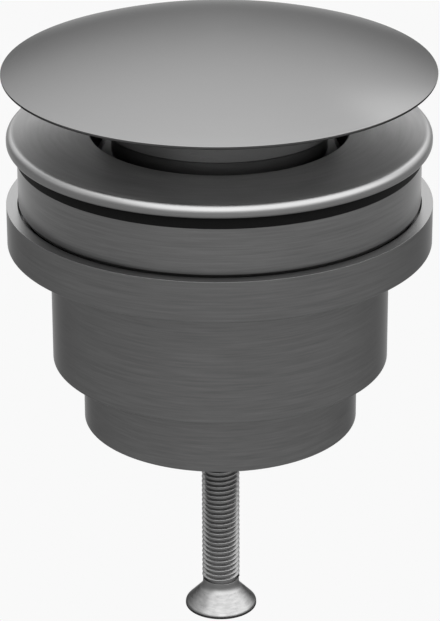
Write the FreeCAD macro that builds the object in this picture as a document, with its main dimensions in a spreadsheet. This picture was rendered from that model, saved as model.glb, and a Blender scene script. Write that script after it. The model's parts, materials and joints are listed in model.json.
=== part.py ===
import FreeCAD, Part
import os
import Sketcher

# Free-flow basin waste
#
# The waste drains a washbasin and can't be shut. Its upper half is a dish-shaped flange with a neck tube, a hub
# that stands in the mouth on two legs, and a domed cap over it. Its lower half is a turned body with the outlet.
# The basin's deck is clamped between the two halves by one long screw. The screw goes up through a bridge in the
# outlet into the hub's thread. The basin's deck is left out here, so the two halves touch.
#
# Axes: +Z up along the axis of the waste, z = 0 at the outlet's lower face, the front of the waste towards -Y.
# Every size is in millimetres.

SIZES = {
    # lower body, from the outlet up
    "outlet_radius": (20.955, "outlet, outside of its pipe thread of one and a quarter inches"),
    "outlet_length": (10.25, "outlet, from its lower face to the step"),
    "body_length": (18.98, "middle of the lower body, from the step up to the flange"),
    "base_wall": (1.71, "wall of the flange round the recess"),
    "base_height": (6.27, "flange of the lower body, from its lower to its upper face"),
    "edge_bevel": (0.2, "bevel that breaks the turned outer edges"),
    "chamber_gap": (0.3, "clearance of the chamber round the neck"),
    "chamber_wall": (3.285, "wall of the lower body round the chamber"),
    "throat_wall": (4.155, "wall of the outlet above the bridge"),
    "bridge_wall": (2.655, "wall of the outlet round the bridge"),
    "chamber_floor": (4.4, "height of the chamber's conical floor above the step, at the wall"),
    "throat_rise": (1.0, "height of the conical floor's lower end above the step"),
    "recess_depth": (2.5, "recess in the flange's upper face, which takes the collar"),
    "recess_gap": (0.1, "clearance between the collar and the recess's wall"),
    # bridge in the outlet
    "bridge_inset": (1.0, "height of the bridge's lower face above the outlet's lower face"),
    "bridge_height": (4.0, "bridge, from its lower face up to the shoulder that it bears on"),
    "bridge_fit": (0.05, "clearance round the bridge's ring"),
    "bridge_ring": (2.25, "radial width of the bridge's ring"),
    "bridge_ring_height": (3.2, "height of the bridge's ring"),
    "eye_wall": (1.0, "wall of the bridge's eye round the countersink"),
    "bridge_arm": (3.2, "width of each arm of the bridge"),
    "passage_gap": (0.395, "clearance of the bridge's hole round the screw's shank"),
    "sink_gap": (0.3, "how much wider the countersink is than the screw's head"),
    # clamp screw
    "screw_radius": (2.955, "shank, over the crests of its thread"),
    "screw_length": (50.0, "screw, over all"),
    "screw_start": (2.83, "how far the screw's tip is turned into the hub's boss"),
    "head_radius": (5.6, "countersunk head"),
    "head_land": (0.6, "straight edge of the head"),
    "screw_bevel": (0.6, "bevel at the screw's tip"),
    "head_bevel": (0.15, "bevel that breaks the head's lower edge"),
    "slot_reach": (3.2, "cross recess, from its middle to the end of each slot"),
    "slot_half": (0.65, "cross recess, half the width of each slot"),
    "slot_depth": (2.2, "cross recess, depth"),
    # collar and its seals
    "collar_width": (7.62, "collar, from its bore to its outside"),
    "collar_height": (8.0, "collar"),
    "collar_foot_round": (1.3, "rounding of the collar's foot"),
    "collar_bevel": (0.5, "bevels at the collar's bore"),
    "neck_gap": (0.6, "clearance of the collar and the seals round the neck"),
    "foot_seal_height": (1.9, "foot seal"),
    "foot_seal_inset": (0.8, "distance from the collar's bore to the foot seal"),
    "foot_seal_width": (3.8, "foot seal, radial width"),
    "seal_inset": (1.6, "distance from the collar's bore to the underside seal's groove"),
    "groove_width": (3.4, "groove in the collar's upper face, radial width"),
    "groove_depth": (1.2, "groove in the collar's upper face"),
    "groove_gap": (0.1, "clearance of the underside seal in its groove, each side"),
    # upper flange, its neck and its gasket
    "gasket_height": (2.05, "rim gasket"),
    "gasket_inset": (1.38, "how far the rim gasket stays back under the lip"),
    "gasket_gap": (0.4, "clearance of the rim gasket round the neck"),
    "lip_width": (9.78, "upper flange, from the neck's outside to the edge of the lip"),
    "plate_height": (2.0, "plate of the upper flange, at the lip"),
    "lip_lower_round": (0.5, "rounding of the lip's lower edge"),
    "lip_land": (0.4, "straight edge between the lip's lower and upper rounding"),
    "lip_crest": (0.68, "flat of the lip inside its upper rounding, where the dish's fall begins"),
    "dish_fall": (0.1, "fall of the dish from the lip to the mouth"),
    "mouth_wall": (2.7, "wall of the neck above its rib, which leaves the mouth"),
    "mouth_bevel": (0.3, "bevel of the mouth's edge"),
    "neck_radius": (22.0, "neck tube, outside, for a basin's hole of 45 mm"),
    "neck_drop_gap": (1.35, "clearance between the neck's lower end and the chamber's conical floor"),
    "neck_wall": (1.8, "wall of the neck below its rib"),
    "rib_height": (1.6, "inner rib of the neck, which carries the legs of the hub"),
    "rib_width": (1.8, "inner rib of the neck, radial width"),
    "rib_depth": (6.95, "upper face of the rib, below the plate's lower face"),
    "neck_bevel": (0.6, "bevel at the neck's lower end"),
    # hub
    "leg_fit": (0.1, "clearance between the legs' ends and the neck"),
    "leg_width": (4.0, "width of each leg"),
    "leg_foot": (3.2, "upright end of each leg, from the rib up to the leg's slope"),
    "leg_rise": (5.75, "height from the legs' upright ends to the top of their slope at the core"),
    "leg_fall": (8.0, "fall of the legs' lower edge from the rib to the boss"),
    "core_gap": (3.1, "way for the water between the mouth's bore and the core"),
    "drum_step": (1.53, "how far the drum stands out over the core"),
    "drum_lift": (1.02, "height of the drum's lower edge above the dish"),
    "drum_height": (9.13, "drum"),
    "core_depth": (4.4, "straight part of the core, below the drum's lower edge"),
    "core_taper": (7.0, "tapered part of the core, below its straight part"),
    "boss_wall": (3.6, "wall of the boss round the screw"),
    "boss_length": (23.0, "boss, below the tapered part of the core"),
    "boss_bevel": (0.8, "bevel at the boss's lower end"),
    "thread_gap": (0.045, "clearance between the screw and its hole in the boss"),
    "bore_roof": (1.0, "metal left between the screw's hole and the stud's hole"),
    # cap and its stud
    "cap_radius": (32.33, "cap"),
    "cap_edge_bevel": (0.2, "bevels that break the cap's edge"),
    "cap_edge_land": (0.1, "straight part of the cap's edge between its bevels"),
    "seat_rise": (1.47, "height of the seat above the cap's edge"),
    "seat_margin": (0.57, "how much wider the cap's seat is than the drum"),
    "cap_rise": (6.12, "rise of the dome above the cap's edge"),
    "hollow_rise": (2.77, "height of the hollow underside beside the seat above the cap's edge"),
    "cap_rebate": (0.4, "flat of the cap's underside inside its edge"),
    "stud_radius": (4.0, "cap stud"),
    "stud_length": (8.0, "cap stud"),
    "stud_sink": (4.8, "how far the cap stud goes into the drum"),
    "stud_bevel": (0.5, "bevels at the ends of the cap stud"),
    "stud_socket": (2.31, "hexagon socket of the cap stud, from its middle to a corner"),
    "socket_depth": (3.0, "hexagon socket of the cap stud"),
    "stud_fit": (0.05, "clearance round the cap stud"),
    "stud_headroom": (0.3, "clearance above the cap stud"),
    # legs of the hub and arms of the bridge
    "leg_count": (2, "legs of the hub, the first towards +X"),
    "arm_count": (3, "arms of the bridge"),
    "arm_turn": (90, "degrees from +X to the first arm, so that it points to the back"),
}

doc = FreeCAD.newDocument("basin_waste")
sheet = doc.addObject("Spreadsheet::Sheet", "sizes")
for row, (name, (number, meaning)) in enumerate(SIZES.items(), start=1):
    sheet.set(f"A{row}", name)
    sheet.set(f"B{row}", str(number))
    sheet.set(f"C{row}", meaning)
    sheet.setAlias(f"B{row}", name)
doc.recompute()


def amount(words):
    """The number that a sum such as "base_height - recess_depth" comes to now."""
    total = 0.0
    sign = 1.0
    for word in words.split():
        if word in "+-":
            sign = -1.0 if word == "-" else 1.0
        else:
            total += sign * (float(SIZES[word][0]) if word in SIZES else float(word))
            sign = 1.0
    return total


def bound(words):
    """The same sum as an expression that reads the sheet."""
    return " ".join(f"sizes.{word}" if word in SIZES else word for word in words.split())


def plane_of(body, role):
    """One of the body's own origin planes."""
    return next(f for f in body.Origin.OriginFeatures if f.Role == role)


def new_body(label, height="0", turned="0"):
    """A body whose own zero stands at a height, turned about the axis: both are sums of sizes."""
    body = doc.addObject("PartDesign::Body", label)
    body.Label = label
    upright = FreeCAD.Rotation(FreeCAD.Vector(0, 0, 1), amount(turned))
    body.Placement = FreeCAD.Placement(FreeCAD.Vector(0, 0, amount(height)), upright)
    body.setExpression(".Placement.Base.z", bound(height))
    body.setExpression(".Placement.Rotation.Angle", bound(turned))
    return body


def new_sketch(body, name, role, offset=None):
    """A sketch on one of the body's origin planes, moved along its normal by a sum of sizes."""
    sketch = body.newObject("Sketcher::SketchObject", name)
    sketch.AttachmentSupport = (plane_of(body, role), [""])
    sketch.MapMode = "FlatFace"
    if offset:
        sketch.setExpression(".AttachmentOffset.Base.z", bound(offset))
    return sketch


# The numbers by which a sketch knows its origin, its axes and the points of an edge.
ORIGIN_INDEX = (-1, 1)
UPRIGHT_AXIS_INDEX = -2
LEVEL_AXIS_INDEX = -1
START_INDEX = 1
END_INDEX = 2
CENTRE_INDEX = 3
# Two points that are nearer than this are one.
SAME_SPOT = 1e-4


def pin_down(sketch, edge, end, across, up):
    """Ties one end of an edge to its two distances from the sketch's origin."""
    for kind, words, axis in (
        ("DistanceX", across, UPRIGHT_AXIS_INDEX),
        ("DistanceY", up, LEVEL_AXIS_INDEX),
    ):
        if words == "0":
            sketch.addConstraint(Sketcher.Constraint("PointOnObject", edge, end, axis))
            continue
        number = sketch.addConstraint(Sketcher.Constraint(kind, *ORIGIN_INDEX, edge, end, amount(words)))
        sketch.setExpression(f"Constraints[{number}]", bound(words))


def draw_outline(sketch, corners, domes=()):
    """A closed outline through corners given as sums of sizes. The edges named in domes, by the number of the
    corner that they leave, are arcs about a centre on the axis of the waste."""
    spots = [FreeCAD.Vector(amount(across), amount(up), 0) for across, up in corners]
    count = len(spots)
    for k, spot in enumerate(spots):
        following = spots[(k + 1) % count]
        if k not in domes:
            sketch.addGeometry(Part.LineSegment(spot, following), False)
            continue
        middle_up = (following.x**2 + following.y**2 - spot.x**2 - spot.y**2) / (2 * (following.y - spot.y))
        centre = FreeCAD.Vector(0, middle_up, 0)
        reach = (spot - centre).Length
        halfway = ((spot - centre) + (following - centre)).normalize() * reach + centre
        sketch.addGeometry(Part.Arc(spot, halfway, following), False)
    for k in range(count):
        following = (k + 1) % count
        edge_start, edge_end = edge_ends(sketch, k, spots[k])
        next_start = edge_ends(sketch, following, spots[following])[0]
        sketch.addConstraint(Sketcher.Constraint("Coincident", k, edge_end, following, next_start))
        pin_down(sketch, k, edge_start, *corners[k])
        if k in domes:
            sketch.addConstraint(Sketcher.Constraint("PointOnObject", k, CENTRE_INDEX, UPRIGHT_AXIS_INDEX))


def edge_ends(sketch, edge, start):
    """Which ends of an edge are its first and last: an arc always runs anticlockwise, so its ends may be swapped."""
    if sketch.getPoint(edge, START_INDEX).isEqual(start, SAME_SPOT):
        return START_INDEX, END_INDEX
    return END_INDEX, START_INDEX


def turn(body, name, corners, domes=(), cut=False):
    """A solid of revolution about the axis of the waste, or a cut of that shape, from half of its section."""
    sketch = new_sketch(body, name + "_section", "XZ_Plane")
    draw_outline(sketch, corners, domes)
    solid = body.newObject("PartDesign::Groove" if cut else "PartDesign::Revolution", name)
    solid.Profile = sketch
    solid.ReferenceAxis = (sketch, ["V_Axis"])
    solid.Angle = 360
    doc.recompute()
    return solid


def pad_both_ways(body, name, sketch, width):
    """A pad that stands equally far to both sides of its sketch."""
    pad = body.newObject("PartDesign::Pad", name)
    pad.Profile = sketch
    pad.Midplane = True
    pad.setExpression("Length", bound(width))
    doc.recompute()
    return pad


def must_shrink(before, after):
    """Stops the build if a cut removed nothing, as a cut does that points away from the solid."""
    if after.Shape.Volume >= before.Shape.Volume:
        raise ValueError(f"{after.Label} removed nothing")


def rings_at(feature, places):
    """The names of the round edges whose radius and height are the given sums."""
    found = []
    for across, up in places:
        for k, edge in enumerate(feature.Shape.Edges, start=1):
            if edge.Degenerated or not isinstance(edge.Curve, Part.Circle):
                continue
            curve = edge.Curve
            if abs(curve.Radius - amount(across)) > SAME_SPOT:
                continue
            if curve.Center.isEqual(FreeCAD.Vector(0, 0, amount(up)), SAME_SPOT):
                found.append(f"Edge{k}")
    return found


def soften(body, kind, name, base, size, places):
    """A Fillet or a Chamfer of one size on round edges."""
    edges = rings_at(base, places)
    if len(edges) < len(places):
        raise ValueError(f"{name}: an edge to soften wasn't found among {places}")
    feature = body.newObject("PartDesign::" + kind, name)
    feature.Base = (base, edges)
    feature.setExpression("Radius" if kind == "Fillet" else "Size", bound(size))
    doc.recompute()
    return feature


def repeat_round(body, name, feature, count):
    """Evenly spaced copies of a feature all round the axis of the waste."""
    pattern = body.newObject("PartDesign::PolarPattern", name)
    pattern.Originals = [feature]
    pattern.Axis = (feature.Profile[0], ["V_Axis"])
    pattern.Angle = 360
    pattern.setExpression("Occurrences", bound(count))
    body.Tip = pattern
    doc.recompute()
    return pattern


def bore(body, name, radius, depth, base_height, into_part_above):
    """A round blind hole along the axis. It starts in the plane at base_height and goes up or down from there."""
    sketch = new_sketch(body, name + "_circle", "XY_Plane", base_height)
    sketch.addGeometry(Part.Circle(FreeCAD.Vector(0, 0, 0), FreeCAD.Vector(0, 0, 1), amount(radius)), False)
    sketch.addConstraint(Sketcher.Constraint("Coincident", 0, CENTRE_INDEX, *ORIGIN_INDEX))
    number = sketch.addConstraint(Sketcher.Constraint("Radius", 0, amount(radius)))
    sketch.setExpression(f"Constraints[{number}]", bound(radius))
    hole = body.newObject("PartDesign::Pocket", name)
    hole.Profile = sketch
    hole.setExpression("Length", bound(depth))
    hole.Reversed = into_part_above
    doc.recompute()
    return hole


# Radii and heights that several pieces share, as sums of sizes. The heights are measured from the outlet's lower
# face up, and each piece stands on the one below it.
CHAMBER = "neck_radius + chamber_gap"
BODY_RADIUS = CHAMBER + " + chamber_wall"
COLLAR_BORE = "neck_radius + neck_gap"
COLLAR_RADIUS = COLLAR_BORE + " + collar_width"
LIP_RADIUS = "neck_radius + lip_width"
MOUTH_BORE = "neck_radius - mouth_wall"
RIB_BORE = "neck_radius - neck_wall - rib_width"
CORE_RADIUS = MOUTH_BORE + " - core_gap"
DRUM_RADIUS = CORE_RADIUS + " + drum_step"
BOSS_RADIUS = "screw_radius + thread_gap + boss_wall"
PASSAGE = "screw_radius + passage_gap"
SINK_RADIUS = "head_radius + sink_gap"
STUD_HOLE = "stud_radius + stud_fit"
CAP_EDGE = "cap_edge_bevel + cap_edge_land + cap_edge_bevel"

STEP = "outlet_length"
BASE_LOW = "outlet_length + body_length"
BASE_TOP = BASE_LOW + " + base_height"
RECESS_FLOOR = BASE_TOP + " - recess_depth"
COLLAR_LOW = RECESS_FLOOR + " + foot_seal_height"
COLLAR_TOP = COLLAR_LOW + " + collar_height"
PLATE_LOW = COLLAR_TOP + " + gasket_height"
DISH = PLATE_LOW + " + plate_height - dish_fall"
RIB_TOP = PLATE_LOW + " - rib_depth"
DRUM_LOW = DISH + " + drum_lift"
DRUM_TOP = DRUM_LOW + " + drum_height"
CORE_LOW = DRUM_LOW + " - core_depth"
BOSS_FOOT = CORE_LOW + " - core_taper - boss_length"


def make_lower_body():
    """The turned body: outlet, conical chamber floor, chamber for the neck, and a recess for the collar."""
    body = new_body("lower_body")
    bridge_bore = "outlet_radius - bridge_wall"
    throat = "outlet_radius - throat_wall"
    recess = COLLAR_RADIUS + " + recess_gap"
    base_radius = recess + " + base_wall"
    shoulder = "bridge_inset + bridge_height"
    shell = turn(body, "lower_body_shell", [
        (bridge_bore, "0"),
        ("outlet_radius", "0"),
        ("outlet_radius", STEP),
        (BODY_RADIUS, STEP),
        (BODY_RADIUS, BASE_LOW),
        (base_radius, BASE_LOW),
        (base_radius, BASE_TOP),
        (recess, BASE_TOP),
        (recess, RECESS_FLOOR),
        (CHAMBER, RECESS_FLOOR),
        (CHAMBER, STEP + " + chamber_floor"),
        (throat, STEP + " + throat_rise"),
        (throat, shoulder),
        (bridge_bore, shoulder),
    ])
    soften(body, "Chamfer", "turned_edges", shell, "edge_bevel", [
        (BODY_RADIUS, STEP),
        (base_radius, BASE_LOW),
        (base_radius, BASE_TOP),
        (recess, BASE_TOP),
    ])
    return body


def make_screw_bridge():
    """Ring, three arms and a countersunk eye. The screw's head pulls it up against the outlet's shoulder."""
    body = new_body("screw_bridge", "bridge_inset", "arm_turn")
    ring_outside = "outlet_radius - bridge_wall - bridge_fit"
    ring_inside = ring_outside + " - bridge_ring"
    ring_low = "bridge_height - bridge_ring_height"
    eye_radius = SINK_RADIUS + " + eye_wall"
    turn(body, "bridge_ring_solid", [
        (ring_inside, ring_low),
        (ring_outside, ring_low),
        (ring_outside, "bridge_height"),
        (ring_inside, "bridge_height"),
    ])
    arm_section = new_sketch(body, "bridge_arm_section", "XZ_Plane")
    draw_outline(arm_section, [
        (PASSAGE, "0"),
        (eye_radius, "0"),
        (ring_inside + " + bridge_fit", ring_low),
        (ring_inside + " + bridge_fit", "bridge_height"),
        (PASSAGE, "bridge_height"),
    ])
    arm = pad_both_ways(body, "bridge_arm_solid", arm_section, "bridge_arm")
    repeat_round(body, "bridge_arms", arm, "arm_count")
    eye = turn(body, "bridge_eye_solid", [
        (PASSAGE, "0"),
        (eye_radius, "0"),
        (eye_radius, "bridge_height"),
        (PASSAGE, "bridge_height"),
    ])
    sink = turn(body, "countersink", [
        ("0", "0"),
        (SINK_RADIUS, "0"),
        (PASSAGE, SINK_RADIUS + " - screw_radius - passage_gap"),
        (PASSAGE, "bridge_height"),
        ("0", "bridge_height"),
    ], cut=True)
    must_shrink(eye, sink)
    return body


def make_clamp_screw():
    """The long countersunk screw, head down. Its thread is drawn as a plain shank over the crests."""
    body = new_body("clamp_screw", BOSS_FOOT + " + screw_start - screw_length")
    shank = turn(body, "screw_shank", [
        ("0", "0"),
        ("head_radius", "0"),
        ("head_radius", "head_land"),
        ("screw_radius", "head_land + head_radius - screw_radius"),
        ("screw_radius", "screw_length - screw_bevel"),
        ("screw_radius - screw_bevel", "screw_length"),
        ("0", "screw_length"),
    ])
    softened = soften(body, "Chamfer", "head_edge", shank, "head_bevel", [("head_radius", "0")])
    slot_outline = new_sketch(body, "cross_slot_outline", "XY_Plane")
    draw_outline(slot_outline, [
        ("0 - slot_reach", "0 - slot_half"),
        ("slot_reach", "0 - slot_half"),
        ("slot_reach", "slot_half"),
        ("0 - slot_reach", "slot_half"),
    ])
    slot = body.newObject("PartDesign::Pocket", "cross_slot")
    slot.Profile = slot_outline
    slot.Reversed = True
    slot.setExpression("Length", bound("slot_depth"))
    doc.recompute()
    must_shrink(softened, slot)
    crossed = body.newObject("PartDesign::PolarPattern", "cross_slots")
    crossed.Originals = [slot]
    crossed.Axis = (slot_outline, ["N_Axis"])
    crossed.Angle = 90
    crossed.Occurrences = 2
    body.Tip = crossed
    doc.recompute()
    must_shrink(slot, crossed)
    return body


def make_collar():
    """The ring that bears on the basin from below: a rounded foot, and a groove on top for its seal."""
    body = new_body("collar", COLLAR_LOW)
    ring = turn(body, "collar_ring", [
        (COLLAR_BORE, "0"),
        (COLLAR_RADIUS, "0"),
        (COLLAR_RADIUS, "collar_height"),
        (COLLAR_BORE + " + seal_inset + groove_width", "collar_height"),
        (COLLAR_BORE + " + seal_inset + groove_width", "collar_height - groove_depth"),
        (COLLAR_BORE + " + seal_inset", "collar_height - groove_depth"),
        (COLLAR_BORE + " + seal_inset", "collar_height"),
        (COLLAR_BORE, "collar_height"),
    ])
    footed = soften(body, "Fillet", "collar_foot", ring, "collar_foot_round", [(COLLAR_RADIUS, "0")])
    edged = soften(body, "Chamfer", "collar_edge", footed, "edge_bevel", [(COLLAR_RADIUS, "collar_height")])
    soften(body, "Chamfer", "collar_bore_bevels", edged, "collar_bevel", [
        (COLLAR_BORE, "0"),
        (COLLAR_BORE, "collar_height"),
    ])
    return body


def make_flat_seal(label, low, inside, outside, height):
    """A flat rubber ring."""
    body = new_body(label, low)
    turn(body, label + "_ring", [
        (inside, "0"),
        (outside, "0"),
        (outside, height),
        (inside, height),
    ])
    return body


def make_upper_flange():
    """The dish with its rounded lip, and the neck tube with the inner rib that carries the hub's legs."""
    body = new_body("upper_flange")
    neck_bore = "neck_radius - neck_wall"
    lip_upper_round = "plate_height - lip_lower_round - lip_land"
    lip_top = PLATE_LOW + " + plate_height"
    neck_low = STEP + " + chamber_floor + neck_drop_gap"
    plate = turn(body, "flange_shell", [
        (neck_bore, neck_low),
        ("neck_radius", neck_low),
        ("neck_radius", PLATE_LOW),
        (LIP_RADIUS, PLATE_LOW),
        (LIP_RADIUS, lip_top),
        (LIP_RADIUS + " - plate_height + lip_lower_round + lip_land - lip_crest", lip_top),
        (MOUTH_BORE + " + mouth_bevel", DISH),
        (MOUTH_BORE, DISH + " - mouth_bevel"),
        (MOUTH_BORE, RIB_TOP),
        (RIB_BORE, RIB_TOP),
        (RIB_BORE, RIB_TOP + " - rib_height"),
        (neck_bore, RIB_TOP + " - rib_height"),
    ])
    upper = soften(body, "Fillet", "lip_upper_edge", plate, lip_upper_round, [(LIP_RADIUS, lip_top)])
    lower = soften(body, "Fillet", "lip_lower_edge", upper, "lip_lower_round", [(LIP_RADIUS, PLATE_LOW)])
    soften(body, "Chamfer", "neck_lead_in", lower, "neck_bevel", [("neck_radius", neck_low)])
    return body


def make_hub():
    """The drum under the cap, its core and boss, and the two legs that stand on the neck's rib. The clamp screw
    goes into the boss from below and the cap's stud into the drum from above."""
    body = new_body("hub")
    drum = turn(body, "hub_core", [
        ("0", BOSS_FOOT),
        (BOSS_RADIUS, BOSS_FOOT),
        (BOSS_RADIUS, CORE_LOW + " - core_taper"),
        (CORE_RADIUS, CORE_LOW),
        (CORE_RADIUS, DRUM_LOW),
        (DRUM_RADIUS, DRUM_LOW),
        (DRUM_RADIUS, DRUM_TOP),
        ("0", DRUM_TOP),
    ])
    broken = soften(body, "Chamfer", "drum_edge", drum, "edge_bevel", [(DRUM_RADIUS, DRUM_LOW)])
    soften(body, "Chamfer", "boss_lead_in", broken, "boss_bevel", [(BOSS_RADIUS, BOSS_FOOT)])
    leg_root = BOSS_RADIUS + " - boss_bevel"
    leg_end = MOUTH_BORE + " - leg_fit"
    shoulder = RIB_TOP + " + leg_foot"
    leg_section = new_sketch(body, "leg_section", "XZ_Plane")
    draw_outline(leg_section, [
        (leg_root, RIB_TOP + " - leg_fall"),
        (RIB_BORE + " - leg_fit", RIB_TOP),
        (leg_end, RIB_TOP),
        (leg_end, shoulder),
        (CORE_RADIUS, shoulder + " + leg_rise"),
        (leg_root, shoulder + " + leg_rise"),
    ])
    leg = pad_both_ways(body, "leg_solid", leg_section, "leg_width")
    legs = repeat_round(body, "legs", leg, "leg_count")
    thread_depth = "boss_length + core_taper + core_depth + drum_height - stud_sink - bore_roof"
    screw_hole = bore(body, "screw_hole", "screw_radius + thread_gap", thread_depth, BOSS_FOOT, True)
    must_shrink(legs, screw_hole)
    stud_hole = bore(body, "stud_hole", STUD_HOLE, "stud_sink", DRUM_TOP, False)
    must_shrink(screw_hole, stud_hole)
    return body


def make_cap():
    """The domed cap: two shallow spherical faces that meet in a thin round edge, and a seat for the drum."""
    body = new_body("cap", DRUM_TOP + " - seat_rise")
    seat_radius = DRUM_RADIUS + " + seat_margin"
    stud_top = "seat_rise + stud_length - stud_sink + stud_headroom"
    shell = turn(body, "cap_shell", [
        ("0", stud_top),
        (STUD_HOLE, stud_top),
        (STUD_HOLE, "seat_rise"),
        (seat_radius, "seat_rise"),
        (seat_radius, "hollow_rise"),
        ("cap_radius - cap_rebate", "0"),
        ("cap_radius", "0"),
        ("cap_radius", CAP_EDGE),
        ("0", CAP_EDGE + " + cap_rise"),
    ], domes=(4, 7))
    soften(body, "Chamfer", "cap_rim", shell, "cap_edge_bevel", [("cap_radius", "0"), ("cap_radius", CAP_EDGE)])
    return body


def make_cap_stud():
    """The headless screw between the drum and the cap, with a hexagon socket in its lower end."""
    body = new_body("cap_stud", DRUM_TOP + " - stud_sink")
    rod = turn(body, "stud_rod", [
        ("0", "0"),
        ("stud_radius - stud_bevel", "0"),
        ("stud_radius", "stud_bevel"),
        ("stud_radius", "stud_length - stud_bevel"),
        ("stud_radius - stud_bevel", "stud_length"),
        ("0", "stud_length"),
    ])
    socket = body.newObject("PartDesign::SubtractivePrism", "stud_socket_hole")
    socket.Polygon = 6
    socket.setExpression("Circumradius", bound("stud_socket"))
    socket.setExpression("Height", bound("socket_depth"))
    doc.recompute()
    must_shrink(rod, socket)
    return body


def write_parts(bodies):
    """Checks every object of the document and every piece, then writes one file for each piece."""
    doc.recompute()
    for thing in doc.Objects:
        if "Invalid" in thing.State or "Error" in thing.State:
            raise ValueError(f"{thing.Label} failed: {thing.State}")
    for body in bodies:
        shape = body.Shape
        if shape.isNull() or not shape.isValid() or len(shape.Solids) != 1:
            raise ValueError(f"{body.Label} isn't one valid solid")
        box = shape.BoundBox
        print(f"{body.Label}: {shape.Volume / 1000:.3f} cm3, z from {box.ZMin:.2f} to {box.ZMax:.2f}")
    os.makedirs("parts", exist_ok=True)
    for body in bodies:
        body.Shape.exportStep(f"parts/{body.Label}.step")


write_parts([
    make_lower_body(),
    make_screw_bridge(),
    make_clamp_screw(),
    make_flat_seal(
        "foot_seal",
        RECESS_FLOOR,
        COLLAR_BORE + " + foot_seal_inset",
        COLLAR_BORE + " + foot_seal_inset + foot_seal_width",
        "foot_seal_height",
    ),
    make_collar(),
    make_flat_seal(
        "underside_seal",
        COLLAR_TOP + " - groove_depth",
        COLLAR_BORE + " + seal_inset + groove_gap",
        COLLAR_BORE + " + seal_inset + groove_width - groove_gap",
        "groove_depth",
    ),
    make_flat_seal(
        "rim_gasket",
        COLLAR_TOP,
        "neck_radius + gasket_gap",
        LIP_RADIUS + " - gasket_inset",
        "gasket_height",
    ),
    make_upper_flange(),
    make_hub(),
    make_cap_stud(),
    make_cap(),
])
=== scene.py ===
# %% [markdown]
# # A free-flow basin waste, turned and brushed
#
# This lesson dresses a basin waste: the metal drain of a washbasin, with a domed cap that never shuts.
# Nearly every piece of it comes off a lathe. So nearly every mesh here is one half of a section that is
# spun round the axis, and nearly every finish runs in rings.
#
# The measured model comes first, and it stays as it is. Each new piece stands exactly where the piece that
# it replaces stands. Lengths are written in millimetres and multiplied by MM, because Blender's own unit is
# the metre.

# %% Load the measured model
import json
import math

import bmesh
import bpy
from mathutils import Matrix, Vector

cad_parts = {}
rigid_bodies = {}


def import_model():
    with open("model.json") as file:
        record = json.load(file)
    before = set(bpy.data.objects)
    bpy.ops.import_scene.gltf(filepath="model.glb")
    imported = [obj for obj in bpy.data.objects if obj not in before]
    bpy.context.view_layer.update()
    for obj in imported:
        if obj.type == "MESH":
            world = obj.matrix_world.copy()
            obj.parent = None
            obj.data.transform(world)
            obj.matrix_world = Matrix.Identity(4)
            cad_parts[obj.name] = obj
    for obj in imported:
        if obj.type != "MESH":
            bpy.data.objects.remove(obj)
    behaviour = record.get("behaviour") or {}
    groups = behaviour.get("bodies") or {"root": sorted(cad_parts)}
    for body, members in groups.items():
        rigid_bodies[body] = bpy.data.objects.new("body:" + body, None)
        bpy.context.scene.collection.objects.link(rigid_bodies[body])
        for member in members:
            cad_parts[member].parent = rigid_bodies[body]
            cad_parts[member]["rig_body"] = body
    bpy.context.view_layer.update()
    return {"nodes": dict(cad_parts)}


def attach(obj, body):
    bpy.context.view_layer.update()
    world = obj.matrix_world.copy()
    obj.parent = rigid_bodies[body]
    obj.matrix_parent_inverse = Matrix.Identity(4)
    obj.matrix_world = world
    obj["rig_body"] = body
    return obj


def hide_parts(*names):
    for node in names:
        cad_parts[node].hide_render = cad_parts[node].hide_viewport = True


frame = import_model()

MM = 0.001
print("pieces of the measured model:", ", ".join(sorted(frame["nodes"])))

# %% [markdown]
# The camera stands in front of the waste and looks down on it at 24 degrees, through a long lens that keeps
# its rings nearly parallel. It could be moved by hand until the render looks right. Its place and lens were
# worked out instead, from the ellipses that the round edges draw in the photograph. The photograph leans by
# a fifth of a degree, so the camera rolls by as much. With the camera in place first, every later render can
# be laid beside the photograph.

# %% Put the camera in place
CAMERA_PLACE = Vector((0.0, -443.38, 212.75)) * MM
CAMERA_PITCH = math.radians(23.816)
CAMERA_ROLL = math.radians(-0.211)
LENS_MM = 184.05
SENSOR_MM = 36.0

lens = bpy.data.cameras.new("long_lens")
lens.lens = LENS_MM
lens.sensor_width = SENSOR_MM
camera = bpy.data.objects.new("camera", lens)
turn_down = Matrix.Rotation(math.radians(90) - CAMERA_PITCH, 4, "X")
lean = Matrix.Rotation(CAMERA_ROLL, 4, "Z")
camera.matrix_world = Matrix.Translation(CAMERA_PLACE) @ turn_down @ lean
bpy.context.scene.collection.objects.link(camera)
bpy.context.scene.camera = camera
print("camera", round(CAMERA_PLACE.length, 3), "m from the outlet's face")

# %% [markdown]
# Three small helpers serve every material. The first turns a colour picker's sRGB hex value into the linear
# colour that a shader expects. The second adds one node, sets it and links it. Blender's own calls would
# take a line for each of these, and with the helper a material reads as a list of steps. The third starts a
# material without the nodes that Blender puts into a new one.

# %% Helpers for colours and nodes
def colour(hex_code):
    """An sRGB hex colour as a linear colour with full alpha."""
    channels = [int(hex_code[k:k + 2], 16) / 255 for k in (1, 3, 5)]
    linear = [c / 12.92 if c <= 0.04045 else ((c + 0.055) / 1.055) ** 2.4 for c in channels]
    return (*linear, 1.0)


def add_node(tree, kind, inputs=None, **settings):
    """Adds a node. An input is a plain value or the socket that feeds it."""
    made = tree.nodes.new(kind)
    for name, value in settings.items():
        setattr(made, name, value)
    for key, value in (inputs or {}).items():
        if isinstance(value, bpy.types.NodeSocket):
            tree.links.new(value, made.inputs[key])
        else:
            made.inputs[key].default_value = value
    return made


def empty_material(name):
    """A material with no nodes yet."""
    material = bpy.data.materials.new(name)
    material.use_nodes = True
    material.node_tree.nodes.clear()
    return material


print("gunmetal #595959 is", round(colour("#595959")[0], 3), "in linear light")

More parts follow.
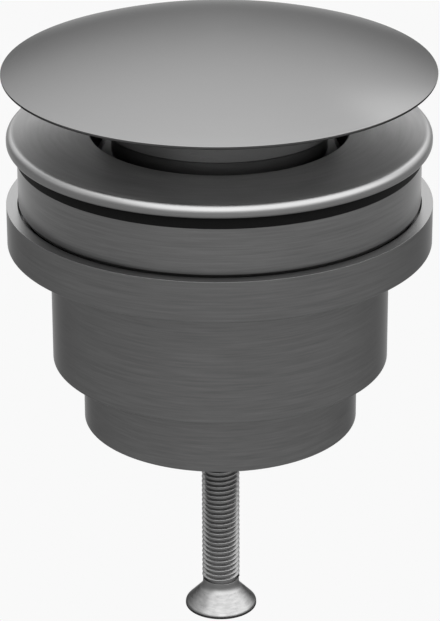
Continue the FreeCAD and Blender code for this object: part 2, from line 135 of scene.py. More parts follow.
# %% [markdown]
# A belt or a pad was held against each piece of metal while it turned in the lathe, so its scratches run
# round it in rings. A picture of scratches could be wrapped round each piece, but it would show where its
# ends meet. Noise that is drawn out into rings has no ends, so it is the way taken here.
#
# The noise needs coordinates that change fast across the rings and slowly along them. An angle would leave
# a seam where it jumps back to zero, so the direction from the axis, a point on the unit circle, stands in
# for it. Height and radius together give the distance across the rings, on walls, flats and domes alike.
# The radius counts more than the height, so that the two don't cancel out on a cone of 45 degrees.
#
# A real scratch is about 0.05 mm wide, which is less than a pixel here. So the rings are drawn coarser, a
# few tenths of a millimetre wide, and on the dish about one millimetre.

# %% Scratches in rings
RADIUS_SHARE = 1.7  # a step outwards counts this many times as much as a step upwards
SCRATCH_RUN = 3.2  # steps of the noise for one radius of the unit circle


def ring_scratches(tree, place, ring_mm):
    """Noise that is drawn out into rings ring_mm wide, and the distance from the axis."""
    flat = add_node(tree, "ShaderNodeVectorMath", {0: place, 1: (1, 1, 0)}, operation="MULTIPLY").outputs[0]
    radius = add_node(tree, "ShaderNodeVectorMath", {0: flat}, operation="LENGTH").outputs["Value"]
    direction = add_node(tree, "ShaderNodeVectorMath", {0: flat}, operation="NORMALIZE").outputs[0]
    height = add_node(tree, "ShaderNodeSeparateXYZ", {0: place}).outputs["Z"]
    across = add_node(tree, "ShaderNodeMath", {0: radius, 1: RADIUS_SHARE, 2: height},
                      operation="MULTIPLY_ADD").outputs[0]
    ring = add_node(tree, "ShaderNodeMath", {0: across, 1: 1 / (ring_mm * MM)},
                    operation="MULTIPLY").outputs[0]
    lift = add_node(tree, "ShaderNodeCombineXYZ", {"Z": ring}).outputs[0]
    ringed = add_node(tree, "ShaderNodeVectorMath",
                      {0: direction, 1: (SCRATCH_RUN, SCRATCH_RUN, 0), 2: lift},
                      operation="MULTIPLY_ADD").outputs[0]
    noise = add_node(tree, "ShaderNodeTexNoise",
                     {"Vector": ringed, "Scale": 1.0, "Detail": 4.0, "Roughness": 0.62})
    return noise.outputs["Fac"], radius


print("about", round(math.tau * SCRATCH_RUN), "scratches one behind the other go once round")

# %% [markdown]
# The metal itself is stainless steel, and most pieces have a thin gunmetal coat. A metal has no colour of
# its own under the gloss: its base colour is what it reflects face on, and the specular tint is what it
# reflects where it is seen nearly edge on. Bare steel is nearly white there. The coat keeps it greyer, so
# every finish has an edge colour of its own.
#
# Scratches also spread a highlight, but only across themselves. The tangent runs along each ring, as the
# cross product of the axis and the place, and a quarter turn of the anisotropy draws the highlight out
# across the rings. The scratches change colour, gloss and height a little, all from the same noise, so that
# the three stay together.

# %% Brushed metal
NOISE_LOW = 0.3  # nearly all of the noise lies between these two
NOISE_HIGH = 0.7
SMOOTHER = 0.01  # how far a scratch changes the roughness down and up
ROUGHER = 0.02
QUARTER_TURN = 0.25


def brushed_metal(name, hex_code, edge_code, roughness, ring_mm, contrast, bump_mm, stretch, painted_light_falloff=None):
    """A turned and brushed metal. contrast is how far a scratch leaves the colour, bump_mm its depth and
    stretch the pull on the highlights. painted_light_falloff gives two radii in millimetres, and the share
    of
    the colour that is left at the second: painted light that fades the colour outwards."""
    material = empty_material(name)
    tree = material.node_tree
    place = add_node(tree, "ShaderNodeTexCoord").outputs["Object"]
    scratches, radius = ring_scratches(tree, place, ring_mm)
    dark, light = [tuple(c * (1 + side * contrast) for c in colour(hex_code)[:3]) + (1.0,)
                   for side in (-1, 1)]
    tint = add_node(tree, "ShaderNodeMix", {"Factor": scratches, "A": dark, "B": light}, data_type="RGBA")
    shown = tint.outputs["Result"]
    # Painted light: where asked, the colour fades between two radii.
    if painted_light_falloff:
        near, far, left = painted_light_falloff
        painted_fade = add_node(tree, "ShaderNodeMapRange", {
            "Value": radius, "From Min": near * MM, "From Max": far * MM, "To Min": 1.0, "To Max": left,
        }).outputs["Result"]
        shown = add_node(tree, "ShaderNodeVectorMath", {0: shown, "Scale": painted_fade},
                         operation="SCALE").outputs[0]
    gloss = add_node(tree, "ShaderNodeMapRange", {
        "Value": scratches, "From Min": NOISE_LOW, "From Max": NOISE_HIGH,
        "To Min": roughness - SMOOTHER, "To Max": roughness + ROUGHER,
    })
    relief = add_node(tree, "ShaderNodeBump",
                      {"Height": scratches, "Strength": 1.0, "Distance": bump_mm * MM})
    along = add_node(tree, "ShaderNodeVectorMath", {0: (0, 0, 1), 1: place},
                     operation="CROSS_PRODUCT").outputs[0]
    shader = add_node(tree, "ShaderNodeBsdfPrincipled", {
        "Base Color": shown,
        "Metallic": 1.0,
        "Roughness": gloss.outputs["Result"],
        "Specular Tint": colour(edge_code),
        "Anisotropic": stretch,
        "Anisotropic Rotation": QUARTER_TURN,
        "Tangent": along,
        "Normal": relief.outputs["Normal"],
    })
    add_node(tree, "ShaderNodeOutputMaterial", {"Surface": shader.outputs["BSDF"]})
    return material


print("highlights are drawn out", round(QUARTER_TURN * 360), "degrees from the scratches")

# %% [markdown]
# A turned piece starts as half of its section, drawn as a wire beside the axis. Each corner may be rounded
# as far as the lathe tool or the pad rounded it, and the wire is spun once round the axis. A stack of
# cylinders would be quicker to write, but its edges would be knife sharp, and it is the rounded edges that
# catch the light. Where a section ends on the axis, the spin leaves many points in one place, and merging
# doubles closes them to a pole.

# %% Draw and spin a section
ROUND_STEPS = 192
CORNER_STEPS = 6
DOME_STEPS = 40
MERGE = 0.0005 * MM


def draw_section(bm, corners):
    """A wire through corners (radius, height, rounding) in millimetres. A corner with a fourth entry, a
    height on the axis, starts an arc about that centre."""
    points = [bm.verts.new((corner[0] * MM, 0, corner[1] * MM)) for corner in corners]
    for k, corner in enumerate(corners):
        following = (k + 1) % len(corners)
        if corner[0] == 0 and corners[following][0] == 0:
            continue
        if len(corner) < 4:
            bm.edges.new((points[k], points[following]))
            continue
        centre = Vector((0, 0, corner[3] * MM))
        start = points[k].co - centre
        end = points[following].co - centre
        sweep = math.atan2(end.x, end.z) - math.atan2(start.x, start.z)
        bmesh.ops.spin(bm, geom=[points[k]], cent=centre, axis=(0, 1, 0), angle=sweep, steps=DOME_STEPS)
    for point, corner in zip(points, corners):
        if corner[2]:
            bmesh.ops.bevel(bm, geom=[point], offset=corner[2] * MM, offset_type="OFFSET",
                            segments=CORNER_STEPS, profile=0.5, affect="VERTICES", material=-1)
    bmesh.ops.remove_doubles(bm, verts=bm.verts, dist=MERGE)


def spin_section(corners):
    """A solid of revolution about the axis of the waste, as a bmesh."""
    bm = bmesh.new()
    draw_section(bm, corners)
    bmesh.ops.spin(bm, geom=bm.verts[:] + bm.edges[:], cent=(0, 0, 0), axis=(0, 0, 1), angle=math.tau,
                   steps=ROUND_STEPS, use_merge=True)
    bmesh.ops.remove_doubles(bm, verts=bm.verts, dist=MERGE)
    return bm


print("a full turn has", ROUND_STEPS, "steps of", 360 / ROUND_STEPS, "degrees")

# %% [markdown]
# Every mesh is finished in the same way. Shading is smooth over the rounded corners and stays sharp at the
# edges that are left. Smooth shading alone would leave a grey shade on the large flats beside the small
# rounds, and a weighted-normal modifier keeps them flat. Then the piece rides on the body of the node that
# it dresses, so that it moves when the clamp or the screw does.

# %% Finish a piece
SHARP_ANGLE = math.radians(32)


def finish_piece(bm, name, material, node, stands_for=True):
    """Makes the mesh an object that rides where the measured node rides."""
    bmesh.ops.remove_doubles(bm, verts=bm.verts, dist=MERGE)
    bmesh.ops.recalc_face_normals(bm, faces=bm.faces)
    mesh = bpy.data.meshes.new(name)
    bm.to_mesh(mesh)
    bm.free()
    mesh.polygons.foreach_set("use_smooth", [True] * len(mesh.polygons))
    mesh.set_sharp_from_angle(angle=SHARP_ANGLE)
    mesh.materials.append(material)
    piece = bpy.data.objects.new(name, mesh)
    bpy.context.scene.collection.objects.link(piece)
    flats = piece.modifiers.new("flat_faces_stay_flat", "WEIGHTED_NORMAL")
    flats.keep_sharp = True
    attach(piece, frame["nodes"][node]["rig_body"])
    if stands_for:
        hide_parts(node)
    print(name, "has", len(mesh.polygons), "faces and rides with", node)
    return piece


def turned(name, corners, material, node):
    """A finished piece of revolution."""
    return finish_piece(spin_section(corners), name, material, node)


print("edges over", round(math.degrees(SHARP_ANGLE)), "degrees stay sharp")

# %% [markdown]
# Some pieces carry a second finish, such as a face that was cut flat on a brushed body, or a band painted
# lighter or darker as painted light or shade. A second object would leave a gap or an overlap, so the faces
# are picked by their height and radius instead and given a material of their own. Where two faces share
# both, the way they point tells them apart.

# %% A second finish on some faces
ANY_WAY = (-1, 1)


def dress_faces(piece, material, heights, radii, facing=ANY_WAY):
    """Gives the faces between two heights and two radii, in millimetres, a finish of their own. facing
    keeps the faces whose normal has an upward part between its two numbers: -1 is down and 1 is up."""
    piece.data.materials.append(material)
    place = len(piece.data.materials) - 1
    chosen = [face for face in piece.data.polygons
              if heights[0] * MM < face.center.z < heights[1] * MM
              and radii[0] * MM < face.center.xy.length < radii[1] * MM
              and facing[0] <= round(face.normal.z, 4) <= facing[1]]
    for face in chosen:
        face.material_index = place
    print(len(chosen), "faces of", piece.name, "are", material.name)


print("faces are picked by height, radius and the way they point, from", *ANY_WAY)

# %% [markdown]
# The lower body is the largest turning: a flange, a narrower middle and the outlet, each a plain cylinder
# with its edge just broken. Its inside shows from below, so it is turned too: the shoulder that the bridge
# bears on, the throat, the cone that leads the water down and the recess that holds the collar. It could be
# joined from cylinders with booleans, but one section gives every step and rounding in a single spin.
#
# Its walls were brushed with a coarse belt and the flange's upper face was cut flat in the lathe. So the
# piece has two finishes, and the face is picked by its height. The face is also painted paler: painted light
# on a face that looks up.

# %% Lower body
# Coated steel, brushed with a coarse belt: strong dark and light streaks, and a sheen that fades sideways.
body_metal = brushed_metal("gunmetal_steel_body_ring_brushed", "#565656", "#bebebe", roughness=0.30,
                           ring_mm=0.30, contrast=0.30, bump_mm=0.0006, stretch=0.45)
# The same steel, faced: half the rings' contrast, and a paler edge colour: painted light on a face that
# looks up.
faced_painted_light_metal = brushed_metal("gunmetal_steel_body_top_faced_painted_light", "#595959", "#e6e6e6", roughness=0.30,
                            ring_mm=0.30, contrast=0.16, bump_mm=0.0006, stretch=0.45)

lower_body = turned("lower_body_brushed", [
    (18.30, 0.00, 0.15),
    (20.955, 0.00, 0.12),
    (20.955, 10.25, 0),
    (25.585, 10.25, 0.12),
    (25.585, 29.23, 0),
    (32.03, 29.23, 0.12),
    (32.03, 35.50, 0.02),
    (30.32, 35.50, 0.05),
    (30.32, 33.00, 0),
    (22.30, 33.00, 0.10),
    (22.30, 14.65, 0),
    (16.80, 11.25, 0.20),
    (16.80, 5.00, 0.05),
    (18.30, 5.00, 0),
], body_metal, "lower_body")
# The upper face takes the paler finish: painted light.
dress_faces(lower_body, faced_painted_light_metal, heights=(35.4, 36.0), radii=(30.0, 33.0))

# %% [markdown]
# The collar stands in that recess and presses against the basin from below. Its foot is generously rounded,
# and the round turns away from the light, so a black line runs all round where the collar meets the lower
# body. A dark ring could be painted there, but a real round darkens by itself and looks right from every
# side. In the collar's top is a groove for a rubber ring.

# %% Collar
# Coated steel, brushed with the same coarse belt: the strongest streaks, on the palest wall.
collar_metal = brushed_metal("gunmetal_steel_collar_ring_brushed", "#595959", "#f0f0f0", roughness=0.30,
                             ring_mm=0.30, contrast=0.34, bump_mm=0.0006, stretch=0.45)

turned("collar_brushed", [
    (22.60, 34.90, 0.30),
    (30.22, 34.90, 1.40),
    (30.22, 42.90, 0.03),
    (27.60, 42.90, 0.05),
    (27.60, 41.70, 0),
    (24.20, 41.70, 0),
    (24.20, 42.90, 0.05),
    (22.60, 42.90, 0.30),
], collar_metal, "collar")

# %% [markdown]
# The gasket under the lip and the two seals are nitrile rubber, moulded and filled with carbon black. Rubber
# is no metal, and its sheen is low and wide. A plain black would look like a hole, so a fine grain varies
# its colour, gloss and height. The mould's grain is finer than a pixel, and it is drawn a third of a
# millimetre wide.

# %% Rubber
GLOSS_SWING = 0.06
GRAIN_DEPTH = 0.01 * MM
TOPS_PALER = 1.6  # the grain's tops are this many times as bright as its pits


def moulded_rubber(name, hex_code, roughness, grain_mm):
    """A matt moulded rubber with a fine grain."""
    material = empty_material(name)
    tree = material.node_tree
    place = add_node(tree, "ShaderNodeTexCoord").outputs["Object"]
    noise = add_node(tree, "ShaderNodeTexNoise",
                     {"Vector": place, "Scale": 1 / (grain_mm * MM), "Detail": 3.0})
    grain = noise.outputs["Fac"]
    gloss = add_node(tree, "ShaderNodeMapRange", {
        "Value": grain, "From Min": NOISE_LOW, "From Max": NOISE_HIGH,
        "To Min": roughness - GLOSS_SWING, "To Max": roughness + GLOSS_SWING,
    })
    relief = add_node(tree, "ShaderNodeBump", {"Height": grain, "Strength": 1.0, "Distance": GRAIN_DEPTH})
    pits = colour(hex_code)
    tops = tuple(c * TOPS_PALER for c in pits[:3]) + (1.0,)
    tint = add_node(tree, "ShaderNodeMix", {"Factor": grain, "A": pits, "B": tops}, data_type="RGBA")
    shader = add_node(tree, "ShaderNodeBsdfPrincipled", {
        "Base Color": tint.outputs["Result"],
        "Roughness": gloss.outputs["Result"],
        "IOR": 1.52,
        "Specular IOR Level": 0.02,
        "Normal": relief.outputs["Normal"],
    })
    add_node(tree, "ShaderNodeOutputMaterial", {"Surface": shader.outputs["BSDF"]})
    return material


# Moulded nitrile rubber: nearly lightless, so the gasket reads as one even black band under the lip.
rubber = moulded_rubber("black_nitrile_rubber_moulded", "#060606", roughness=0.5, grain_mm=0.33)
print("rubber:", rubber.name)

# %% [markdown]
# All three rubber pieces are plain bands. The gasket lies under the lip, one seal in the collar's groove and
# one under the collar's foot. The measured ones could stay, but their corners are sharp, and moulded rubber
# has no sharp ones. So they are spun like the metal, with every corner rounded.

# %% Gasket and seals
turned("rim_gasket_moulded", [
    (22.40, 42.90, 0.10),
    (30.40, 42.90, 0.15),
    (30.40, 44.95, 0.15),
    (22.40, 44.95, 0.10),
], rubber, "rim_gasket")

turned("underside_seal_moulded", [
    (24.30, 41.70, 0.15),
    (27.50, 41.70, 0.15),
    (27.50, 42.90, 0.15),
    (24.30, 42.90, 0.15),
], rubber, "underside_seal")

turned("foot_seal_moulded", [
    (23.40, 33.00, 0.20),
    (27.20, 33.00, 0.20),
    (27.20, 34.90, 0.20),
    (23.40, 34.90, 0.20),
], rubber, "foot_seal")

# %% [markdown]
# The upper flange is the dish that shows in the basin. Its lip is rolled almost half round. The neck goes
# down from it through the basin's hole, and carries an inner rib for the hub's legs. Dish and neck could be
# two objects, but the lathe makes them from one piece, and one section leaves no seam between them.
#
# The lip is polished, and its round gathers the light from the front into one bright line. The dish inside
# it is only satin brushed. It lies in the cap's shadow and has no highlight of its own, so it gets a rough
# finish without any stretch. It darkens towards the lip, so its colour falls off outwards: painted light,
# which keeps the inner dish, deepest in the cap's shade, paler than the outer.

# %% Upper flange
# Coated steel, polished round: a pale, narrow highlight and almost no scratches.
lip_metal = brushed_metal("gunmetal_steel_lip_ring_polished", "#636363", "#e1e1e1", roughness=0.34,
                          ring_mm=0.35, contrast=0.06, bump_mm=0.0004, stretch=0.4)
# Coated steel, satin brushed: a wide dull sheen with faint rings, drawn 1.1 mm wide so that they show. From
# 23 mm to 31 mm out the colour falls to 60%: painted light, paler on the inner dish in the cap's shade.
dish_painted_light_metal = brushed_metal("gunmetal_steel_dish_ring_brushed_painted_light", "#8c8c8c", "#b4b4b4", roughness=0.46,
                           ring_mm=1.10, contrast=0.24, bump_mm=0.0004, stretch=0.0,
                           painted_light_falloff=(23, 31, 0.60))

upper_flange = turned("upper_flange_brushed", [
    (20.20, 16.00, 0),
    (22.00, 16.00, 0.50),
    (22.00, 44.95, 0.10),
    (31.78, 44.95, 0.50),
    (31.78, 46.95, 1.10),
    (30.00, 46.95, 0.60),
    (19.60, 46.85, 0.10),
    (19.30, 46.55, 0.10),
    (19.30, 38.00, 0),
    (18.40, 38.00, 0.15),
    (18.40, 36.40, 0.15),
    (20.20, 36.40, 0),
], lip_metal, "upper_flange")
# The dish takes the finish with painted light.
dress_faces(upper_flange, dish_painted_light_metal, heights=(46.5, 47.0), radii=(19.0, 31.0))

# %% [markdown]
# The hub is a turned drum with a narrower core below it, a taper, and a long boss that takes the screw. Most
# of it stands in the cap's shade or inside the neck, and a plain cylinder would nearly do. But the step from
# drum to core shows under the cap, so the whole section is spun. The drum is turned smooth and the core a
# little rougher. The core is also painted paler than the drum, as painted light in the drum's shade, and a
# finish of its own for each keeps the step clear.

# %% Hub
# Coated steel, turned smooth: dark, with a soft highlight and rings that hardly show.
hub_metal = brushed_metal("gunmetal_steel_hub_turned", "#4d4d4d", "#b0b0b0", roughness=0.28,
                          ring_mm=0.35, contrast=0.02, bump_mm=0.0001, stretch=0.3)
# Coated steel, turned with a coarser feed: softer than the drum, and painted slightly paler: painted light
# in its shade.
core_painted_light_metal = brushed_metal("gunmetal_steel_hub_core_turned_painted_light", "#545454", "#b8b8b8", roughness=0.32,
                           ring_mm=0.35, contrast=0.02, bump_mm=0.0001, stretch=0.3)

hub = turned("hub_turned", [
    (0, 51.20, 0),
    (3.00, 51.20, 0),
    (3.00, 13.47, 0.30),
    (6.60, 13.47, 0.80),
    (6.60, 36.47, 1.50),
    (16.20, 43.47, 1.00),
    (16.20, 47.87, 0),
    (17.73, 47.87, 0.20),
    (17.73, 57.00, 0.10),
    (4.05, 57.00, 0.10),
    (4.05, 52.20, 0),
    (0, 52.20, 0),
], hub_metal, "hub")
# The core's faces take the paler finish: painted light.
dress_faces(hub, core_painted_light_metal, heights=(43.0, 47.87), radii=(16.0, 17.6))

# %% [markdown]
# Two legs grow out of the core, left and right, and stand on the rib of the neck. They are flat, so spinning
# can't make them. Each is cut from a section too, but pushed out sideways and bevelled, and then turned to
# its own side. Their upright ends show as pale patches at both sides of the mouth, and their paler colour is
# painted light on them.

# %% Legs of the hub
# Coated steel, milled flat and not brushed: matt, with no highlight, and painted pale: painted light on the
# legs.
leg_painted_light_metal = brushed_metal("gunmetal_steel_legs_milled_painted_pale", "#7c7c7c", "#e0e0e0", roughness=0.62,
                          ring_mm=0.35, contrast=0.06, bump_mm=0.0004, stretch=0.0)

LEG_WIDTH = 4.0
LEG_BEVEL = 0.18
LEG_SECTION = [(5.80, 30.00), (18.30, 38.00), (19.20, 38.00), (19.20, 41.20), (16.20, 46.95), (5.80, 46.95)]
LEG_TURNS = {"right": 0, "left": 180}


def verts_of(geometry):
    """The vertices among what an operator gives back."""
    return [part for part in geometry if isinstance(part, bmesh.types.BMVert)]


# The legs take the pale finish: painted light.
for side, degrees in LEG_TURNS.items():
    bm = bmesh.new()
    cheek = bm.faces.new([bm.verts.new((r * MM, -LEG_WIDTH / 2 * MM, z * MM)) for r, z in LEG_SECTION])
    pushed = bmesh.ops.extrude_face_region(bm, geom=[cheek])["geom"]
    bmesh.ops.translate(bm, verts=verts_of(pushed), vec=(0, LEG_WIDTH * MM, 0))
    bmesh.ops.bevel(bm, geom=bm.edges[:], offset=LEG_BEVEL * MM, offset_type="OFFSET", segments=3,
                    profile=0.5, affect="EDGES", material=-1)
    to_its_side = Matrix.Rotation(math.radians(degrees), 3, "Z")
    bmesh.ops.rotate(bm, verts=bm.verts, cent=(0, 0, 0), matrix=to_its_side)
    finish_piece(bm, f"hub_leg_{side}", leg_painted_light_metal, "hub", stands_for=False)

# %% [markdown]
# The cap is two shallow spheres that meet in a thin edge, like a contact lens. Part of a ready-made sphere
# could be cut off and thinned, but an arc in the section gives both faces and the edge in one spin. The
# centres of the arcs lie far below on the axis. Under the cap a flat seat stands on the drum, with a blind
# hole for the headless screw that holds it.
#
# The dome carries the largest sheen of the waste, so its scratches are kept nearly invisible. The thin edge
# and the hollow underside are picked out and finished apart: the edge painted dark, as painted shade, and
# the hollow painted pale, as painted light. The thin edge and the hollow underside were made with other
# tools, and each is picked out and finished apart.

# %% Cap
# Coated steel, brushed with a very fine pad: one broad soft sheen over the dome.
cap_metal = brushed_metal("gunmetal_steel_cap_ring_brushed", "#5c5c5c", "#a9a9a9", roughness=0.24,
                          ring_mm=0.35, contrast=0.03, bump_mm=0.0002, stretch=0.3)
# Coated steel, painted dark on the thin edge: painted shade, a dark line that outlines the cap.
rim_painted_shade_metal = brushed_metal("gunmetal_steel_cap_rim_painted_shade", "#444444", "#808080", roughness=0.30,
                          ring_mm=0.35, contrast=0.03, bump_mm=0.0002, stretch=0.3)
# Coated steel, left satin: soft, and painted pale, as painted light, so that it hands light from the dish
# back to the drum.
hollow_painted_light_metal = brushed_metal("gunmetal_steel_cap_hollow_satin_painted_pale", "#868686", "#d0d0d0", roughness=0.50,
                             ring_mm=0.35, contrast=0.05, bump_mm=0.0002, stretch=0.0)


def centre_of_dome(high, edge):
    """Height of the centre, on the axis, of the sphere through two points of a section (radius, height)."""
    return (edge[0]**2 + edge[1]**2 - high[0]**2 - high[1]**2) / (2 * (edge[1] - high[1]))


DOME_TOP = (0, 62.15)
DOME_EDGE = (32.33, 56.03)
HOLLOW_TOP = (18.30, 58.30)
HOLLOW_EDGE = (31.93, 55.53)

cap = turned("cap_brushed", [
    (0, 60.50, 0),
    (4.05, 60.50, 0),
    (4.05, 57.00, 0.10),
    (18.30, 57.00, 0.10),
    (*HOLLOW_TOP, 0, centre_of_dome(HOLLOW_TOP, HOLLOW_EDGE)),
    (*HOLLOW_EDGE, 0),
    (32.28, 55.53, 0.30),
    (*DOME_EDGE, 0.04, centre_of_dome(DOME_TOP, DOME_EDGE)),
    (*DOME_TOP, 0),
], cap_metal, "cap")
# The thin edge takes the dark finish: painted shade.
dress_faces(cap, rim_painted_shade_metal, heights=(55.5, 56.03), radii=(32.0, 32.4))
# The hollow takes the pale finish: painted light.
dress_faces(cap, hollow_painted_light_metal, heights=(55.5, 58.4), radii=(18.3, 31.94), facing=(-1, -0.5))

# %% [markdown]
# The clamp screw pulls the two halves together, and it is the one piece with a visible thread. A thread is a
# tooth that climbs as it turns. The section of one tooth is spun once round the axis, and each step also
# lifts it a little, so that after a full turn it has climbed by one pitch. That turn is then copied up the
# screw. Spinning all 54 turns at once gives the same shape, but takes many times as long. The pitch was
# counted in the photograph, and it is finer than the usual 1 mm.
#
# Rolling squeezes the crests round, so the tooth's two crest points are rounded. They catch the light as
# bright lines, and the roots between them stay dark.

# %% Thread of the clamp screw
# Bare stainless steel, rolled: no coat and hardly a scratch, so the thread's own shape makes the pattern.
screw_metal = brushed_metal("bare_stainless_screw_rolled", "#626262", "#a9a9a9", roughness=0.34,
                            ring_mm=0.25, contrast=0.04, bump_mm=0.0004, stretch=0.3)

PITCH = 0.82
THREAD_LOW = -29.25
THREAD_TURNS = 54
TURN_STEPS = 40
CREST = 2.955
ROOT = 2.53
CREST_ROUND = 0.055

bm = bmesh.new()
tooth = [(ROOT, 0.0), (ROOT, 0.12), (CREST, 0.36), (CREST, 0.48), (ROOT, 0.72), (ROOT, PITCH)]
points = [bm.verts.new((r * MM, 0, (THREAD_LOW + z) * MM)) for r, z in tooth]
for pair in zip(points, points[1:]):
    bm.edges.new(pair)
crest_points = points[2:4]
bmesh.ops.bevel(bm, geom=crest_points, offset=CREST_ROUND * MM, offset_type="OFFSET", segments=3,
                profile=0.5, affect="VERTICES", material=-1)
bmesh.ops.spin(bm, geom=bm.verts[:] + bm.edges[:], cent=(0, 0, 0), axis=(0, 0, 1), angle=math.tau,
               dvec=(0, 0, PITCH / TURN_STEPS * MM), steps=TURN_STEPS)
first_turn = bm.verts[:] + bm.edges[:] + bm.faces[:]
for turn in range(1, THREAD_TURNS):
    copied = bmesh.ops.duplicate(bm, geom=first_turn)["geom"]
    bmesh.ops.translate(bm, verts=verts_of(copied), vec=(0, 0, turn * PITCH * MM))
finish_piece(bm, "clamp_screw_thread", screw_metal, "clamp_screw", stands_for=False)

# %% [markdown]
# Inside the thread stands the screw's core, made in one piece with the countersunk head. Between head and
# thread is a short plain neck, because a rolled thread never runs right up to the head. Core and head could
# be welded to the thread point by point, but nobody can see that seam, so the core only stands inside it.

# %% Core of the clamp screw
HEAD_FOOT = -33.70

bm = spin_section([
    (0, HEAD_FOOT, 0),
    (5.60, HEAD_FOOT, 0.14),
    (5.60, -33.10, 0.25),
    (2.85, -30.20, 0.60),
    (2.85, -28.95, 0.03),
    (2.55, -28.95, 0),
    (2.55, 15.80, 0),
    (2.00, 16.30, 0),
    (0, 16.30, 0),
])
print("the core has", len(bm.faces), "faces before the recess is cut")

# %% [markdown]
# The head has a cross recess in its lower face, for a screwdriver from below. A boolean would cut it, but
# leaves ragged triangles. Instead the head's lower end is taken away and filled again round the outline of
# the cross, and the outline is pushed up and closed. If no edge is left open, the recess is sound.

# %% Cross recess
SLOT_REACH = 3.20
SLOT_HALF = 0.65
SLOT_DEPTH = 2.20
HAIR = 0.001  # a face whose corners lie lower than this above the foot belongs to the lower end

lower_end = [face for face in bm.faces if max(vert.co.z for vert in face.verts) < (HEAD_FOOT + HAIR) * MM]
bmesh.ops.delete(bm, geom=lower_end, context="FACES")
rim = [edge for edge in bm.edges if edge.is_boundary]
quarter = [(SLOT_REACH, SLOT_HALF), (SLOT_HALF, SLOT_HALF), (SLOT_HALF, SLOT_REACH)]
cross = []
for turn in range(4):
    turning = Matrix.Rotation(math.radians(90 * turn), 3, "Z")
    cross += [bm.verts.new(turning @ Vector((across, up, HEAD_FOOT)) * MM) for across, up in quarter]
outline = [bm.edges.new(pair) for pair in zip(cross, cross[1:] + cross[:1])]
bmesh.ops.triangle_fill(bm, use_beauty=True, edges=rim + outline)
walls = bmesh.ops.extrude_edge_only(bm, edges=outline)["geom"]
bmesh.ops.translate(bm, verts=verts_of(walls), vec=(0, 0, SLOT_DEPTH * MM))
bmesh.ops.edgeloop_fill(bm, edges=[part for part in walls if isinstance(part, bmesh.types.BMEdge)])
print("open edges of the screw's core:", sum(not edge.is_manifold for edge in bm.edges))

# %% [markdown]
# The core takes the thread's bare steel, and the head two finishes of its own. Its cone was turned with a
# coarse feed, and its thin upright edge is painted dark, as painted shade under the head. The cone shows
# fine light and dark rings, above a dark edge. Bumps alone could draw the rings, but at this small size they
# fade away, so the rings differ in colour too.

# %% Finishes of the screw's head
# Bare stainless steel, turned from bar with a coarse feed: fine strong rings, light and dark, on the cone.
head_metal = brushed_metal("bare_stainless_screw_head_turned", "#5e5e5e", "#9c9c9c", roughness=0.28,
                           ring_mm=0.16, contrast=0.50, bump_mm=0.001, stretch=0.3)
# Bare stainless steel, painted dark and matt: painted shade, a thin black line that ends the head.
edge_painted_shade_metal = brushed_metal("bare_stainless_screw_edge_painted_shade", "#2c2c2c", "#5a5a5a", roughness=0.50,
                           ring_mm=0.25, contrast=0.06, bump_mm=0.0004, stretch=0.0)

screw_core = finish_piece(bm, "clamp_screw_core", screw_metal, "clamp_screw")
dress_faces(screw_core, head_metal, heights=(-33.30, -30.25), radii=(3.4, 5.61))
# The head's upright edge takes the dark finish: painted shade.
dress_faces(screw_core, edge_painted_shade_metal, heights=(-33.69, -33.30), radii=(5.3, 5.61))

# %% [markdown]
# The bridge sits in the outlet and takes the pull of the screw's head. The stud holds the cap on the drum.
# Both could be modelled again with rounded edges, but they hardly show and their measured shapes are right.
# So they stay as they are and only get a finish.

# %% Bridge and stud
# Bare stainless steel, turned: without a coat it is the brightest metal of the waste.
bridge_metal = brushed_metal("bare_stainless_bridge_turned", "#a3a3a3", "#d0d0d0", roughness=0.28,
                             ring_mm=0.30, contrast=0.06, bump_mm=0.0006, stretch=0.3)

for node, finish in (("screw_bridge", bridge_metal), ("cap_stud", screw_metal)):
    frame["nodes"][node].data.materials.clear()
    frame["nodes"][node].data.materials.append(finish)
    print(node, "keeps its measured shape and gets", finish.name)

# %% [markdown]
# The stage is a plain pale floor, just below the screw's head. A white floor that takes light from lamps
# would shade from light to dark. This one glows evenly instead. Seen from its back it is clear, so that the
# underside of the waste can be looked at from below.

# %% Floor
FLOOR_HALF = 4.0
FLOOR_HEIGHT = -33.75

bm = bmesh.new()
bmesh.ops.create_grid(bm, x_segments=1, y_segments=1, size=FLOOR_HALF)
bmesh.ops.translate(bm, verts=bm.verts, vec=(0, 0, FLOOR_HEIGHT * MM))
floor_mesh = bpy.data.meshes.new("floor")
bm.to_mesh(floor_mesh)
bm.free()
floor = bpy.data.objects.new("floor", floor_mesh)
bpy.context.scene.collection.objects.link(floor)

pale = empty_material("pale_studio_floor")
tree = pale.node_tree
glow = add_node(tree, "ShaderNodeEmission", {"Color": colour("#f9f9f9"), "Strength": 1.0})
clear = add_node(tree, "ShaderNodeBsdfTransparent")
back = add_node(tree, "ShaderNodeNewGeometry").outputs["Backfacing"]
one_sided = add_node(tree, "ShaderNodeMixShader", {0: back, 1: glow.outputs[0], 2: clear.outputs[0]})
add_node(tree, "ShaderNodeOutputMaterial", {"Surface": one_sided.outputs[0]})
floor_mesh.materials.append(pale)
print("floor", FLOOR_HEIGHT, "mm below the outlet's face")

# %% [markdown]
# Polished metal shows little of its own: it shows the room. So the room does most of the work. A picture of
# a studio is often wrapped round a scene for this, but three ramps are enough here and easier to steer.
#
# The room is built like a light tent. It is darker low down and brighter overhead, which shades every wall
# from top to bottom. It is brighter in front than behind, and darker at the far left, which gives the dome
# and the walls their darker left side. A ramp has no edge that the metal could mirror.

# %% Room
TENT_DARK = (0.12, 0.12, 0.12, 1)
TENT_BRIGHT = (0.80, 0.80, 0.80, 1)
TENT_BRIGHT_FROM = 0.32  # height of the direction from which the tent is fully bright
BEHIND_FROM = 0.42  # depth of the direction: at this and more it looks behind the waste
FRONT_FROM = 0.1
BEHIND_STRENGTH = 4.9
FRONT_STRENGTH = 8.5
FAR_LEFT_FROM = -0.76  # sideways part of the direction: at this and less it looks to the far left
LEFT_ENDS = -0.52
FAR_LEFT_SHARE = 0.42

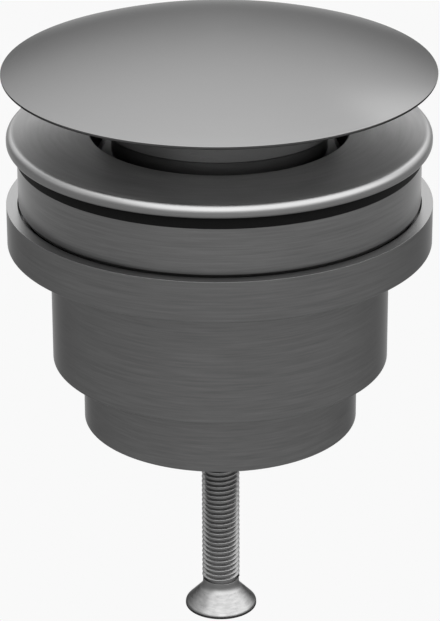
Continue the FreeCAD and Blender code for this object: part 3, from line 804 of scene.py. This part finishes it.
world = bpy.data.worlds.new("light_tent")
world.use_nodes = True
tree = world.node_tree
tree.nodes.clear()
direction = add_node(tree, "ShaderNodeTexCoord").outputs["Generated"]
parts = add_node(tree, "ShaderNodeSeparateXYZ", {0: direction})
tent = add_node(tree, "ShaderNodeValToRGB", {"Fac": parts.outputs["Z"]})
tent.color_ramp.elements[0].position = 0.0
tent.color_ramp.elements[0].color = TENT_DARK
tent.color_ramp.elements[1].position = TENT_BRIGHT_FROM
tent.color_ramp.elements[1].color = TENT_BRIGHT
front = add_node(tree, "ShaderNodeMapRange", {
    "Value": parts.outputs["Y"], "From Min": BEHIND_FROM, "From Max": FRONT_FROM,
    "To Min": BEHIND_STRENGTH, "To Max": FRONT_STRENGTH,
}).outputs["Result"]
side = add_node(tree, "ShaderNodeMapRange", {
    "Value": parts.outputs["X"], "From Min": FAR_LEFT_FROM, "From Max": LEFT_ENDS,
    "To Min": FAR_LEFT_SHARE, "To Max": 1.0,
}).outputs["Result"]
strength = add_node(tree, "ShaderNodeMath", {0: front, 1: side}, operation="MULTIPLY").outputs[0]
backdrop = add_node(tree, "ShaderNodeBackground", {"Color": tent.outputs["Color"], "Strength": strength})
add_node(tree, "ShaderNodeOutputWorld", {"Surface": backdrop.outputs[0]})
bpy.context.scene.world = world
print("the tent is", FRONT_STRENGTH, "strong in front and", BEHIND_STRENGTH, "behind")

# %% [markdown]
# The room alone leaves the lip flat. One large soft lamp over the front draws the bright line on it, and a
# smaller one behind on the right lifts the cap's right side. Both are squares, because a large square gives
# a wide, soft highlight where a point would give a hard dot. The Standard view transform then shows every
# colour as it was worked out, where Blender's own choice would grey the pale floor.

# %% Lamps
LAMP_AIM = Vector((0, 0, 0.03))


def soft_lamp(name, place, size, watts):
    """A square area lamp that faces the waste."""
    lamp = bpy.data.lights.new(name, "AREA")
    lamp.shape = "SQUARE"
    lamp.size = size
    lamp.energy = watts
    holder = bpy.data.objects.new(name, lamp)
    holder.location = place
    holder.rotation_euler = (LAMP_AIM - Vector(place)).to_track_quat("-Z", "Y").to_euler()
    bpy.context.scene.collection.objects.link(holder)
    print(name, "gives", watts, "W")


soft_lamp("lamp_over_front", place=(0.0, -0.70, 0.62), size=0.4, watts=0.6)
soft_lamp("lamp_behind_right", place=(0.45, 0.60, 0.55), size=0.35, watts=0.8)
bpy.context.scene.view_settings.view_transform = "Standard"
